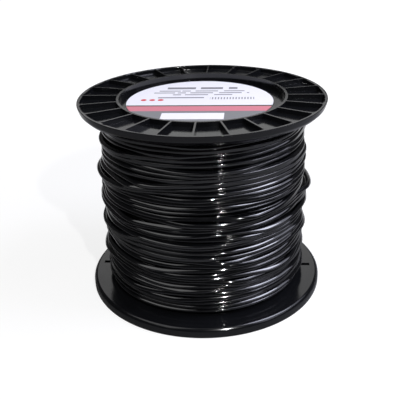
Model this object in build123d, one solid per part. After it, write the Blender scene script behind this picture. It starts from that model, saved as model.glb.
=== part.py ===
from build123d import *
from math import pi, sin
import os

# Spool of square trimmer line, millimetres.
# The spool's axis is Z, and its lower rim stands on z = 0.
# Angles are turned about +Z from +X. The side that faces the viewer is at -90.

# Driving dimensions of the moulded spool
flange_diameter = 200.0
spool_height = 165.0
plate_thickness = 4.6
pocket_depth = 3.8
rim_height = 4.8
rim_draft = 1.4
rim_wall = 3.0
upper_plate_draw_in = 3.6
lower_edge_width = 2.0
lower_edge_height = 2.4
rib_count = 24
rib_thickness = 1.4
ring_inner_diameter = 133.4
ring_wall = 2.0
recess_depth = 5.6
web_thickness = 3.0
barrel_diameter = 116.0
barrel_wall = 3.2
barrel_taper = 0.8
boss_diameter = 34.0
boss_length = 12.0
bore_diameter = 20.5
slot_length = 7.6
slot_rim_gap = 4.2
slot_clearance = 0.5
spool_turn = -4.5

# Driving dimensions of the line and its winding
line_size = 3.5
winding_diameter = 172.0
turn_groove = 1.5
turn_wander = 1.1
turns_per_bulge = 3.7
turn_facets = 26
winding_clearance = 0.2

# Driving dimensions of the label
label_ring_gap = 7.4
label_thickness = 0.3
label_shift_x = -1.8
label_shift_y = 1.5

# Sizes that follow from the ones above
flange_height = plate_thickness + pocket_depth
flange_radius = flange_diameter / 2
rim_foot_radius = flange_radius - rim_draft
rim_inner_radius = flange_radius - rim_wall
upper_plate_radius = rim_foot_radius - upper_plate_draw_in
lower_plate_radius = flange_radius - lower_edge_width
ring_inner_radius = ring_inner_diameter / 2
ring_radius = ring_inner_radius + ring_wall
barrel_radius = barrel_diameter / 2
barrel_inner_radius = barrel_radius - barrel_wall
mouth_radius = barrel_inner_radius + barrel_taper
upper_plate_z = spool_height - flange_height
recess_floor_z = spool_height - recess_depth
web_underside_z = recess_floor_z - web_thickness
boss_end_z = web_underside_z - boss_length
slot_width = line_size + slot_clearance
rib_pitch = 360 / rib_count
slot_angles = (spool_turn, spool_turn + 180)
winding_height = upper_plate_z - flange_height
label_radius = ring_inner_radius - label_ring_gap


def ring_of_pockets(start_angle):
    """The pockets between the ribs of one flange, as a flat sketch."""
    pockets = Circle(rim_inner_radius) - Circle(ring_radius)
    spoke_length = rim_foot_radius - ring_inner_radius
    spoke_middle = (rim_foot_radius + ring_inner_radius) / 2
    for location in PolarLocations(spoke_middle, rib_count, start_angle):
        pockets -= location * Rectangle(spoke_length, rib_thickness)
    return pockets


def make_spool():
    """Two ribbed flanges on a hollow barrel that is closed at the top and open below."""
    section = Polyline(
        (bore_diameter / 2, boss_end_z),
        (boss_diameter / 2, boss_end_z),
        (boss_diameter / 2, web_underside_z),
        (barrel_inner_radius, web_underside_z),
        (mouth_radius, recess_depth),
        (ring_inner_radius, recess_depth),
        (ring_inner_radius, 0),
        (flange_radius, 0),
        (flange_radius, flange_height - lower_edge_height),
        (lower_plate_radius, flange_height),
        (barrel_radius, flange_height),
        (barrel_radius, upper_plate_z),
        (upper_plate_radius, upper_plate_z),
        (rim_foot_radius, spool_height - rim_height),
        (flange_radius, spool_height),
        (ring_inner_radius, spool_height),
        (ring_inner_radius, recess_floor_z),
        (bore_diameter / 2, recess_floor_z),
        close=True,
    )
    spool = revolve(Plane.XZ * make_face(section), Axis.Z)

    upper_ribs_start = spool_turn
    lower_ribs_start = spool_turn + rib_pitch / 2
    upper_pockets = extrude(ring_of_pockets(upper_ribs_start), pocket_depth)
    lower_pockets = extrude(ring_of_pockets(lower_ribs_start), pocket_depth)
    spool -= Pos(0, 0, spool_height - pocket_depth) * upper_pockets
    spool -= lower_pockets

    # The line's ends are tucked through these two slots in the lower flange.
    slot_middle = rim_inner_radius - slot_rim_gap - slot_length / 2
    slot = extrude(Rectangle(slot_length, slot_width), flange_height)
    for angle in slot_angles:
        spool -= Rot(0, 0, angle) * Pos(slot_middle, 0, 0) * slot
    return spool


def make_winding():
    """The outer turns as rings that touch, each a little higher or lower than the next."""
    turn_count = round(winding_height / line_size)
    pitch = winding_height / turn_count

    def turn_radius(turn):
        bulge = sin(2 * pi * turn / turns_per_bulge) + sin(2 * pi * turn / (turns_per_bulge * pi))
        return winding_diameter / 2 + turn_wander * bulge / 2

    def slice_at(height, radius):
        return Pos(0, 0, flange_height + height) * RegularPolygon(radius, turn_facets)

    slices = [slice_at(0, turn_radius(0) - turn_groove)]
    for turn in range(turn_count):
        slices.append(slice_at((turn + 0.5) * pitch, turn_radius(turn)))
        lower_turn = min(turn_radius(turn), turn_radius(turn + 1))
        slices.append(slice_at((turn + 1) * pitch, lower_turn - turn_groove))
    turns = loft(slices, ruled=True)

    innermost_turn = RegularPolygon(barrel_radius + winding_clearance, turn_facets, major_radius=False)
    return turns - Pos(0, 0, flange_height) * extrude(innermost_turn, winding_height)


def make_label():
    """A paper disc stuck in the hub recess over the bore, a little off the middle."""
    disc = extrude(Circle(label_radius), label_thickness)
    return Pos(label_shift_x, label_shift_y, recess_floor_z) * disc


nodes = {
    "spool": make_spool(),
    "line_winding": make_winding(),
    "label": make_label(),
}

os.makedirs("parts", exist_ok=True)
for name, solid in nodes.items():
    export_step(solid, f"parts/{name}.step")
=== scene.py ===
import bpy
import bmesh
from math import cos, pi, radians, sin, tau
from mathutils import Matrix, Vector, noise


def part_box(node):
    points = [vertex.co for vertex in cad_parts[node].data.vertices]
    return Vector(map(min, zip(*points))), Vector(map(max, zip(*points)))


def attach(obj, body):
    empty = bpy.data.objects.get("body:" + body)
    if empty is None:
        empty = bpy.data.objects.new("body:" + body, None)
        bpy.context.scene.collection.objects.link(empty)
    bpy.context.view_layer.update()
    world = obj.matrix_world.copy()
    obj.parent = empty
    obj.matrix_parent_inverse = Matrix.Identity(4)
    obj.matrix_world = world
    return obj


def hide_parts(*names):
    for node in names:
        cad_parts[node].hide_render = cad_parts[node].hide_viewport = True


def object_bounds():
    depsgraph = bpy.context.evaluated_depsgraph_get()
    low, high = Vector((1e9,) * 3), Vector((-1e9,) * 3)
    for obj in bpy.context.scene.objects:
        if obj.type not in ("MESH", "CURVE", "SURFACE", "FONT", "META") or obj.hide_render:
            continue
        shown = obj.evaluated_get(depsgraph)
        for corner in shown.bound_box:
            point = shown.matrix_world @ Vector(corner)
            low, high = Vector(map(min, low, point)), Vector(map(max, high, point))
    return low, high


mm = 0.001

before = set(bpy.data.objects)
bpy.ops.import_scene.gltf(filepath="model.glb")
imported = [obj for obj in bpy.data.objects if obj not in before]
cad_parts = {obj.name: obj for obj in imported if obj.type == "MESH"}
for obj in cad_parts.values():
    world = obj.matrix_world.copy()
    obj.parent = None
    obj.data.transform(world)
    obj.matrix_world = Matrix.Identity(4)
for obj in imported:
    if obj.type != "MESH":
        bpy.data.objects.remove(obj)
cadLow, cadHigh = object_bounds()  # the CAD box, before anything is added
print("frame loaded:", sorted(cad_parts))


# shader maths on sockets
class Wire:
    def __init__(self, tree, socket):
        self.tree = tree
        self.socket = socket

    def add(self, kind, settings, values, output=0):
        node = self.tree.nodes.new(kind)
        for name, value in settings.items():
            if name == "stops":
                fillRamp(node.color_ramp, value)
            else:
                setattr(node, name, value)
        for key, value in values.items():
            if isinstance(value, Wire):
                self.tree.links.new(value.socket, node.inputs[key])
            else:
                node.inputs[key].default_value = value
        return Wire(self.tree, node.outputs[output])

    def math(self, operation, *values):
        return self.add("ShaderNodeMath", {"operation": operation}, dict(enumerate(values)))

    def sine(self):
        return self.math("SINE", self)

    def __add__(self, other):
        return self.math("ADD", self, other)

    def __sub__(self, other):
        return self.math("SUBTRACT", self, other)

    def __mul__(self, other):
        return self.math("MULTIPLY", self, other)

    def __truediv__(self, other):
        return self.math("DIVIDE", self, other)

    def __lt__(self, other):
        return self.math("LESS_THAN", self, other)

    def __gt__(self, other):
        return self.math("GREATER_THAN", self, other)

    def __abs__(self):
        return self.math("ABSOLUTE", self)

    def __radd__(self, other):
        return self.math("ADD", other, self)

    def __rsub__(self, other):
        return self.math("SUBTRACT", other, self)

    def __rmul__(self, other):
        return self.math("MULTIPLY", other, self)

    def __rtruediv__(self, other):
        return self.math("DIVIDE", other, self)


def fillRamp(ramp, stops):
    for element, (place, shade) in zip(ramp.elements, stops):  # a new ramp has two elements
        element.position = place
        element.color = (shade, shade, shade, 1)


def startMaterial(name):
    material = bpy.data.materials.new(name)
    material.use_nodes = True
    tree = material.node_tree
    shader = tree.nodes["Principled BSDF"]
    place = Wire(tree, tree.nodes.new("ShaderNodeTexCoord").outputs["Object"])
    return material, shader, place


def plug(wire, shader, socketName):
    wire.tree.links.new(wire.socket, shader.inputs[socketName])


def addNoise(place, scale, detail):
    return place.add("ShaderNodeTexNoise", {}, {"Vector": place, "Scale": scale, "Detail": detail})


def addRamp(factor, stops):
    return factor.add("ShaderNodeValToRGB", {"stops": stops}, {"Fac": factor})


def mixColour(factor, first, second):
    return factor.add("ShaderNodeMix", {"data_type": "RGBA"}, {0: factor, 6: first, 7: second}, 2)


def addBump(shader, height, distance, strength):
    normal = height.add("ShaderNodeBump", {},
                        {"Strength": strength, "Distance": distance, "Height": height})
    plug(normal, shader, "Normal")


def axisOf(vector, index):
    return vector.add("ShaderNodeSeparateXYZ", {}, {"Vector": vector}, index)


def smoothRange(value, start, end, low, high):
    return value.add("ShaderNodeMapRange", {"interpolation_type": "SMOOTHSTEP"},
                     {"Value": value, "From Min": start, "From Max": end, "To Min": low, "To Max": high})


# moulded black plastic of the spool
plasticLook = {
    "dark": (0.0026, 0.0028, 0.0034, 1),
    "pale": (0.0054, 0.0057, 0.0068, 1),
    "gloss": [(0.3, 0.12), (0.7, 0.18)],  # roughness over the slow noise
    "cloudScale": 45,
    "grainScale": 1400,
    "cloudInBump": 0.6,
    "bump": 0.03 * mm,
    "bumpStrength": 0.35,
    "ior": 1.5,
}


def makePlastic():
    look = plasticLook
    material, shader, place = startMaterial("black_plastic")
    cloud = addNoise(place, look["cloudScale"], 4)
    grain = addNoise(place, look["grainScale"], 2)
    plug(mixColour(cloud, look["dark"], look["pale"]), shader, "Base Color")
    plug(addRamp(cloud, look["gloss"]), shader, "Roughness")
    addBump(shader, grain + cloud * look["cloudInBump"], look["bump"], look["bumpStrength"])
    shader.inputs["IOR"].default_value = look["ior"]
    return material


# extruded nylon line: glossy, with faint marks along its length
nylonLook = {
    "dark": (0.0014, 0.0015, 0.0019, 1),
    "pale": (0.0034, 0.0036, 0.0046, 1),
    "gloss": [(0.25, 0.07), (0.75, 0.13)],
    "along": (6, 6, 900),  # the marks are long round the spool and fine across the line
    "patchScale": 70,
    "bump": 0.04 * mm,
    "bumpStrength": 0.25,
    "specular": 0.9,
}


def makeNylon():
    look = nylonLook
    material, shader, place = startMaterial("black_nylon")
    drawn = place.add("ShaderNodeMapping", {}, {"Vector": place, "Scale": look["along"]})
    streak = addNoise(drawn, 1.0, 3)
    patch = addNoise(place, look["patchScale"], 3)
    plug(mixColour(patch, look["dark"], look["pale"]), shader, "Base Color")
    plug(addRamp(patch, look["gloss"]), shader, "Roughness")
    addBump(shader, streak, look["bump"], look["bumpStrength"])
    shader.inputs["Specular IOR Level"].default_value = look["specular"]
    return material


# helpers for pieces
def addPiece(name, mesh, material, node):
    piece = bpy.data.objects.new(name, mesh)
    bpy.context.scene.collection.objects.link(piece)
    mesh.materials.clear()
    mesh.materials.append(material)
    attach(piece, "root")
    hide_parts(node)
    return piece


def shadeSmooth(mesh):
    mesh.polygons.foreach_set("use_smooth", [True] * len(mesh.polygons))
    mesh.update()


def keepFlats(piece):
    even = piece.modifiers.new("flat faces stay flat", "WEIGHTED_NORMAL")
    even.keep_sharp = False


# the spool: the CAD moulding with its edges rounded as a mould leaves them
spoolShape = {
    "rimFrom": 94 * mm,  # edges outside this radius are the rims'
    "rimRadius": 0.9 * mm,
    "rimAngle": radians(14),
    "edgeRadius": 0.4 * mm,
    "edgeAngle": radians(32),
    "segments": 2,
    "flatAngle": radians(1),
    "mergeGap": 0.002 * mm,
    "levelGap": 0.01 * mm,  # an edge is level if its ends differ by less
    "levelNormal": 0.9,
}


def roundEdges(bm, edges, radius):
    bmesh.ops.bevel(bm, geom=edges, offset=radius, offset_type="OFFSET", affect="EDGES", profile=0.5,
                    segments=spoolShape["segments"], material=-1, clamp_overlap=True)


def makeSpool(material):
    shape = spoolShape
    bm = bmesh.new()
    bm.from_mesh(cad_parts["spool"].data)
    bmesh.ops.remove_doubles(bm, verts=bm.verts, dist=shape["mergeGap"])
    bmesh.ops.dissolve_limit(bm, angle_limit=shape["flatAngle"], verts=bm.verts, edges=bm.edges)

    def sharper(edge, angle):
        return edge.is_manifold and edge.calc_face_angle() > angle

    def byRim(face):
        return (face.calc_center_median().xy.length > shape["rimFrom"]
                or abs(face.normal.z) > shape["levelNormal"])

    def onRim(edge):
        first, second = edge.verts
        level = abs(first.co.z - second.co.z) < shape["levelGap"]
        return level and all(map(byRim, edge.link_faces)) and first.co.xy.length > shape["rimFrom"]

    rim = [edge for edge in bm.edges if sharper(edge, shape["rimAngle"]) and onRim(edge)]
    roundEdges(bm, rim, shape["rimRadius"])
    roundEdges(bm, [edge for edge in bm.edges if sharper(edge, shape["edgeAngle"])], shape["edgeRadius"])
    mesh = bpy.data.meshes.new("spool_moulding")
    bm.to_mesh(mesh)
    bm.free()
    shadeSmooth(mesh)
    keepFlats(addPiece("spool_moulding", mesh, material, "spool"))
    print("spool:", len(mesh.polygons), "faces")


# the winding: turns laid one after another on a bumpy bed, each resting on what is under it
lineShape = {
    "size": 3.5 * mm,
    "corner": 0.7 * mm,
    "crown": 0.16 * mm,  # how far each flat of the line swells
    "bedDepth": 11.1 * mm,  # from the outside of the winding down to the bed
    "shoulder": 2.6 * mm,  # how far the winding falls off towards the upper flange
    "shoulderLength": 40 * mm,
    "bulge": 2.8 * mm,  # how uneven the bed of older turns is
    "bulgeLength": 6.5 * mm,
    "bulgeRate": 0.9,  # a rate says how fast the noise changes round the spool
    "cell": 0.5 * mm,
    "reach": 8,  # degrees either side, where the stiff line bridges a dip
    "swayRate": 1.3,
    "strayRate": 1.7,
    "strayStep": 0.9,  # a step says how far the noise moves on with each turn
    "endEase": 4 * mm,  # near a flange the turns wander less
    "weave": 0.3 * mm,  # small waves of each turn, in and out
    "weaveRate": 4,
    "weaveStep": 2.3,
    "lean": radians(37),  # how the square line is turned on its bed
    "twist": radians(55),  # how far that varies
    "twistRate": 0.6,
    "twistStep": 0.6,
    "tuck": 4.5 * mm,  # each end goes this far under its neighbours
    "tuckAngle": radians(28),
    "lastAngle": radians(-22),  # where a layer ends
}
lineLayers = [
    {"name": "winding_inner", "turns": 40, "steps": 96, "sway": 0.6 * mm, "swayLength": 9 * mm,
     "stray": 0.2 * mm, "seed": 3.1},
    {"name": "winding_outer", "turns": 39, "steps": 144, "sway": 1.7 * mm, "swayLength": 11 * mm,
     "stray": 0.3 * mm, "seed": 11.7},
]


def noiseAround(angle, rate, along):
    return noise.noise(Vector((rate * cos(angle), rate * sin(angle), along)))


def makeBed(low, high, radius, steps):
    shape = lineShape
    bed = []
    for step in range(steps):
        angle = tau * step / steps
        row = []
        for cell in range(round((high - low) / shape["cell"])):
            z = (cell + 0.5) * shape["cell"]
            bump = noiseAround(angle, shape["bulgeRate"], z / shape["bulgeLength"])
            fall = max(0, 1 - (high - low - z) / shape["shoulderLength"])
            row.append(radius + shape["bulge"] * bump - shape["shoulder"] * fall)
        bed.append(row)
    return bed


def resample(bed, steps):
    return [list(bed[round(step * len(bed) / steps) % len(bed)]) for step in range(steps)]


def overWindow(values, reach, pick):
    count = len(values)
    return [pick(values[max(0, i - reach):min(count, i + reach + 1)]) for i in range(count)]


def mean(values):
    return sum(values) / len(values)


def turnHeights(layer, low, high, count, first, upward):
    shape = lineShape
    half = shape["size"] / 2
    heights = []
    for i in range(count):
        turn = i / layer["steps"]
        angle = first + tau * turn
        share = i / count
        z = low + half + (share if upward else 1 - share) * (high - low - 2 * half)
        room = min(z - low - half, high - half - z)
        sway = noiseAround(angle, shape["swayRate"], z / layer["swayLength"] + layer["seed"])
        stray = noiseAround(angle, shape["strayRate"], turn * shape["strayStep"] - layer["seed"])
        drift = (layer["sway"] * sway + layer["stray"] * stray) * room / (room + shape["endEase"])
        heights.append(z + max(-room, min(room, drift)))
    return heights


def layTurns(bed, layer, low, high, count, first, upward):
    shape = lineShape
    steps, cell, half = layer["steps"], shape["cell"], shape["size"] / 2
    heights = turnHeights(layer, low, high, count, first, upward)
    span = int(half / cell)
    rise = [(half * half - (k * cell) ** 2) ** 0.5 for k in range(-span, span + 1)]
    reach = round(shape["reach"] * steps / 360)
    offset = round(first / tau * steps)

    def footprint(i):
        row = bed[(i + offset) % steps]
        middle = int((heights[i] - low) / cell)
        cells = [(middle + k, rise[k + span]) for k in range(-span, span + 1)]
        return row, [(c, lift) for c, lift in cells if 0 <= c < len(row)]

    # one turn at a time: rest on the bed, then become part of it
    radii = []
    for start in range(0, count, steps):
        block = range(start, min(count, start + steps))
        support = []
        for i in block:
            row, cells = footprint(i)
            support.append(max(row[c] + lift for c, lift in cells))
        lead = radii[-2 * reach:]
        raised = overWindow(lead + support, reach, max)
        for i, radius in zip(block, overWindow(raised, reach, mean)[len(lead):]):
            radii.append(radius)
            row, cells = footprint(i)
            for c, lift in cells:
                row[c] = max(row[c], radius + lift)
    radii = overWindow(radii, max(2, reach // 2), mean)

    path = []
    tuckSteps = shape["tuckAngle"] / tau * steps
    for i in range(count):
        angle = first + tau * i / steps
        near = max(0, 1 - min(i, count - 1 - i) / tuckSteps)
        weave = noiseAround(angle, shape["weaveRate"], shape["weaveStep"] * i / steps + layer["seed"])
        radius = radii[i] + shape["weave"] * weave - shape["tuck"] * near * near
        twist = noiseAround(angle, shape["twistRate"], shape["twistStep"] * i / steps + 2 * layer["seed"])
        spot = Vector((radius * cos(angle), radius * sin(angle), heights[i]))
        path.append((spot, shape["lean"] + twist * shape["twist"]))
    return path


def makeSection():
    shape = lineShape
    half, corner = shape["size"] / 2, shape["corner"]
    inner = half - corner
    points = []
    for quarter in range(4):
        turn = Matrix.Rotation(quarter * pi / 2, 2)
        points.append(turn @ Vector((half + shape["crown"], 0)))
        for a in (0, pi / 4, pi / 2):
            points.append(turn @ Vector((inner + corner * cos(a), inner + corner * sin(a))))
    flat = bpy.data.curves.new("line_section", "CURVE")
    flat.dimensions = "2D"
    spline = flat.splines.new("POLY")
    spline.points.add(len(points) - 1)
    for point, spot in zip(spline.points, points):
        point.co = (spot.x, spot.y, 0, 1)
    spline.use_cyclic_u = True
    section = bpy.data.objects.new("line_section", flat)
    bpy.context.scene.collection.objects.link(section)
    return section


def strandMesh(name, path, section):
    curve = bpy.data.curves.new(name, "CURVE")
    curve.dimensions = "3D"
    curve.twist_mode = "Z_UP"
    curve.bevel_mode = "OBJECT"
    curve.bevel_object = section
    curve.use_fill_caps = True
    spline = curve.splines.new("POLY")
    spline.points.add(len(path) - 1)
    for point, (spot, tilt) in zip(spline.points, path):
        point.co = (*spot, 1)
        point.tilt = tilt
    strand = bpy.data.objects.new(name, curve)
    bpy.context.scene.collection.objects.link(strand)
    bpy.context.view_layer.update()
    mesh = bpy.data.meshes.new_from_object(strand.evaluated_get(bpy.context.evaluated_depsgraph_get()))
    bpy.data.objects.remove(strand)
    bpy.data.curves.remove(curve)
    mesh.name = name
    return mesh


def makeWinding(material):
    shape = lineShape
    low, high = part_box("line_winding")
    outside = (high.x - low.x) / 2
    section = makeSection()
    bed = makeBed(low.z, high.z, outside - shape["bedDepth"], lineLayers[0]["steps"])
    upward = False  # the inner layer is laid downwards, and the outer one comes back up
    for layer in lineLayers:
        bed = resample(bed, layer["steps"])
        count = layer["turns"] * layer["steps"]
        first = shape["lastAngle"] - tau * (layer["turns"] - 1 / layer["steps"])
        path = layTurns(bed, layer, low.z, high.z, count, first, upward)
        mesh = strandMesh(layer["name"], path, section)
        shadeSmooth(mesh)
        keepFlats(addPiece(layer["name"], mesh, material, "line_winding"))
        radii = [spot.xy.length / mm for spot, tilt in path]
        print(layer["name"], "faces", len(mesh.polygons),
              "radius %.1f %.1f %.1f" % (min(radii), mean(radii), max(radii)))
        upward = not upward
    bpy.data.objects.remove(section)


# the label: a paper disc with plain fields of colour, places in millimetres from its middle
labelShape = {
    "turn": radians(-4.5),
    "segments": 128,
    "paper": (0.74, 0.73, 0.77, 1),
    "worn": (0.56, 0.55, 0.60, 1),
    "ink": (0.035, 0.035, 0.04, 1),
    "band": (0.56, 0.19, 0.23, 1),
    "stripe": (0.05, 0.07, 0.045, 1),
    "dot": (0.55, 0.03, 0.045, 1),
    "foot": (0.19, 0.19, 0.195, 1),
    "bandFrom": -27.5,
    "bandTo": -15.0,
    "stripeDepth": 2.6,
    "rules": [(0, 36.5, 30, 2.9), (0, 28.0, 36, 1.2), (0, 22.4, 40, 1.2), (0, 16.8, 26, 1.2)],
    "ruleInk": 0.75,
    "breakRates": (0.55, 0.23),  # two waves that break the rules unevenly
    "breakStep": 2.1,
    "breakBelow": -1.0,
    "scale": (26, 6.5, 18, 3.0),  # a bar's middle, half length and half depth, as in the rules
    "shortRule": (-16, 8.5, 19, 1.6),
    "markInk": 0.7,
    "tickPitch": 2.4,
    "tickShare": 0.45,
    "dots": [(-46, 2), (-39, 2), (-32, 2)],
    "dotRadius": 2.4,
    "panel": (-3, -40, 24, 7.5),
    "fibreScale": 900,
    "cloudScale": 60,
    "wear": 0.5,
    "roughness": (0.4, 0.2),  # the least, and what the clouds add
    "specular": 0.2,
    "bump": 0.03 * mm,
    "bumpStrength": 0.2,
}


def makePaper(centre):
    shape = labelShape
    material, shader, place = startMaterial("printed_paper")
    onLabel = place.add("ShaderNodeMapping", {"vector_type": "TEXTURE"},
                        {"Vector": place, "Location": centre, "Rotation": (0, 0, shape["turn"]),
                         "Scale": (mm, mm, mm)})
    across, up = axisOf(onLabel, 0), axisOf(onLabel, 1)

    def bar(x, y, halfLength, halfDepth):
        return (abs(across - x) < halfLength) * (abs(up - y) < halfDepth)

    fibre = addNoise(place, shape["fibreScale"], 3)
    cloud = addNoise(place, shape["cloudScale"], 3)
    colour = mixColour(fibre * cloud * shape["wear"], shape["paper"], shape["worn"])

    # plain rules, broken unevenly
    fine, coarse = shape["breakRates"]
    for count, rule in enumerate(shape["rules"]):
        breaks = (across * fine + count * shape["breakStep"]).sine() + (across * coarse + count).sine()
        inked = bar(*rule) * (breaks > shape["breakBelow"])
        colour = mixColour(inked * shape["ruleInk"], colour, shape["ink"])

    # a scale of even ticks, a short rule beside it and a row of dots
    ticks = across.math("FRACT", across / shape["tickPitch"]) < shape["tickShare"]
    colour = mixColour(bar(*shape["scale"]) * ticks * shape["markInk"], colour, shape["ink"])
    colour = mixColour(bar(*shape["shortRule"]) * shape["markInk"], colour, shape["ink"])
    for x, y in shape["dots"]:
        apart = (across - x) * (across - x) + (up - y) * (up - y)
        colour = mixColour(apart < shape["dotRadius"] ** 2, colour, shape["dot"])

    # a band with a dark stripe along it
    stripe = (up > shape["bandTo"]) * (up < shape["bandTo"] + shape["stripeDepth"])
    colour = mixColour(stripe, colour, shape["stripe"])
    colour = mixColour((up > shape["bandFrom"]) * (up < shape["bandTo"]), colour, shape["band"])

    # grey foot with an empty white panel
    colour = mixColour(up < shape["bandFrom"], colour, shape["foot"])
    colour = mixColour(bar(*shape["panel"]), colour, shape["paper"])
    plug(colour, shader, "Base Color")
    least, added = shape["roughness"]
    plug(cloud * added + least, shader, "Roughness")
    shader.inputs["Specular IOR Level"].default_value = shape["specular"]
    addBump(shader, fibre, shape["bump"], shape["bumpStrength"])
    return material


def makeLabel():
    low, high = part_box("label")
    centre = (low + high) / 2
    bm = bmesh.new()
    bmesh.ops.create_circle(bm, cap_ends=True, segments=labelShape["segments"], radius=(high.x - low.x) / 2)
    lifted = bmesh.ops.extrude_face_region(bm, geom=list(bm.faces))
    top = [v for v in lifted["geom"] if isinstance(v, bmesh.types.BMVert)]
    bmesh.ops.translate(bm, verts=top, vec=(0, 0, high.z - low.z))
    bmesh.ops.translate(bm, verts=bm.verts, vec=(centre.x, centre.y, low.z))
    bmesh.ops.recalc_face_normals(bm, faces=bm.faces)
    mesh = bpy.data.meshes.new("hub_label")
    bm.to_mesh(mesh)
    bm.free()
    addPiece("hub_label", mesh, makePaper(centre), "label")
    print("label:", len(mesh.polygons), "faces")


# stage, light and camera
stage = {
    "floorSize": 8.0,
    "floorColour": (0.2, 0.2, 0.2, 1),
    "floorRoughness": 0.9,
    "floorSpecular": 0.1,
    "floorGlow": (0.82, 1.0),  # added where the camera sees the floor, near the spool and far from it
    "glowReach": (0.25, 0.9),  # metres from the spool
    "floorFade": (0.1, 0.6),  # reflections show the glowing floor from here, behind the spool
    "room": 0.03,  # the unlit part of the room
    "backdrop": 1.0,
    "backdropFade": (0.2, 0.9),
    "backdropShine": 0.03,  # the share of the backdrop that reflections show
}


def whiteBehind(tree, behind):
    path = tree.nodes.new("ShaderNodeLightPath")
    camera = Wire(tree, path.outputs["Is Camera Ray"])
    glossy = Wire(tree, path.outputs["Is Glossy Ray"])
    through = Wire(tree, path.outputs["Is Transmission Ray"])
    mirrored = camera.math("MAXIMUM", glossy, through) * behind
    return camera.math("MAXIMUM", camera, mirrored)


def makeStage():
    world = bpy.data.worlds.new("white room")
    bpy.context.scene.world = world
    world.use_nodes = True
    tree = world.node_tree
    background = tree.nodes["Background"]
    background.inputs["Color"].default_value = (1, 1, 1, 1)
    direction = Wire(tree, tree.nodes.new("ShaderNodeTexCoord").outputs["Generated"])
    behind = smoothRange(axisOf(direction, 1), *stage["backdropFade"], 0.0, stage["backdropShine"])
    strength = whiteBehind(tree, behind) * (stage["backdrop"] - stage["room"]) + stage["room"]
    plug(strength, background, "Strength")

    material, shader, place = startMaterial("pale_floor")
    shader.inputs["Base Color"].default_value = stage["floorColour"]
    shader.inputs["Roughness"].default_value = stage["floorRoughness"]
    shader.inputs["Specular IOR Level"].default_value = stage["floorSpecular"]
    shader.inputs["Emission Strength"].default_value = 1.0
    behind = smoothRange(axisOf(place, 1), *stage["floorFade"], 0.0, 1.0)
    away = place.add("ShaderNodeVectorMath", {"operation": "LENGTH"}, {"Vector": place}, "Value")
    glow = smoothRange(away, *stage["glowReach"], *stage["floorGlow"])
    plug(whiteBehind(material.node_tree, behind) * glow, shader, "Emission Color")
    bm = bmesh.new()
    bmesh.ops.create_grid(bm, x_segments=1, y_segments=1, size=stage["floorSize"] / 2)
    mesh = bpy.data.meshes.new("floor")
    bm.to_mesh(mesh)
    bm.free()
    mesh.materials.append(material)
    floor = bpy.data.objects.new("floor", mesh)
    bpy.context.scene.collection.objects.link(floor)
    print("stage: floor", stage["floorSize"], "m across")


# degrees round from the viewer, degrees up, then metres and watts
lamps = [
    {"name": "backBox", "around": 180, "up": 30, "away": 1.3, "size": (0.78, 0.46), "power": 0.95,
     "tint": (1, 1, 1)},
    {"name": "topBox", "around": 0, "up": 84, "away": 1.2, "size": (0.8, 0.8), "power": 0.8,
     "tint": (1, 1, 1)},
    {"name": "rightFill", "around": 82, "up": 44, "away": 1.15, "size": (1.2, 0.9), "power": 6.4,
     "tint": (0.82, 0.84, 1)},
    {"name": "rightBox", "around": 82, "up": 53, "away": 1.1, "size": (0.56, 0.56), "power": 9.5,
     "tint": (0.82, 0.84, 1)},
    {"name": "leftBox", "around": -62, "up": 52, "away": 1.2, "size": (1.0, 0.7), "power": 2.8,
     "tint": (1, 1, 1)},
    {"name": "spark", "around": 18.5, "up": 37, "away": 1.3, "size": (0.026, 0.055), "power": 10,
     "tint": (1, 1, 1)},
]


def makeLamps():
    aim = (cadLow + cadHigh) / 2
    for lamp in lamps:
        around, up = radians(lamp["around"]), radians(lamp["up"])
        back = Vector((sin(around) * cos(up), -cos(around) * cos(up), sin(up)))
        light = bpy.data.lights.new(lamp["name"], "AREA")
        light.shape = "RECTANGLE"
        light.size, light.size_y = lamp["size"]
        light.energy = lamp["power"]
        light.color = lamp["tint"]
        holder = bpy.data.objects.new(lamp["name"], light)
        holder.location = aim + back * lamp["away"]
        holder.rotation_mode = "QUATERNION"
        holder.rotation_quaternion = (-back).to_track_quat("-Z", "Y")
        bpy.context.scene.collection.objects.link(holder)
    print("lamps:", len(lamps))


# camera fitted to the two rims in the photo
camera = {
    "focalPixels": 651.5,
    "imagePixels": 400,
    "sensorWidth": 36,
    "distance": 563.5 * mm,
    "elevation": radians(25.35),
    "roll": radians(-1.60),
    "aim": Vector((-3.8, 0, 71.43)) * mm,
    "clip": (0.01, 50),
}


def makeCamera():
    rig = camera
    data = bpy.data.cameras.new("photo camera")
    data.sensor_width = rig["sensorWidth"]
    data.lens = rig["sensorWidth"] * rig["focalPixels"] / rig["imagePixels"]
    data.clip_start, data.clip_end = rig["clip"]
    holder = bpy.data.objects.new("photo camera", data)
    back = Vector((0, -cos(rig["elevation"]), sin(rig["elevation"])))
    right = Vector((1, 0, 0))
    above = back.cross(right)
    turn = Matrix((right, above, back)).transposed() @ Matrix.Rotation(rig["roll"], 3, "Z")
    holder.matrix_world = Matrix.Translation(rig["aim"] + back * rig["distance"]) @ turn.to_4x4()
    bpy.context.scene.collection.objects.link(holder)
    bpy.context.scene.camera = holder
    print("camera: lens %.1f mm" % data.lens)


bpy.context.scene.view_settings.view_transform = "Standard"
makeSpool(makePlastic())
makeWinding(makeNylon())
makeLabel()
makeStage()
makeLamps()
makeCamera()
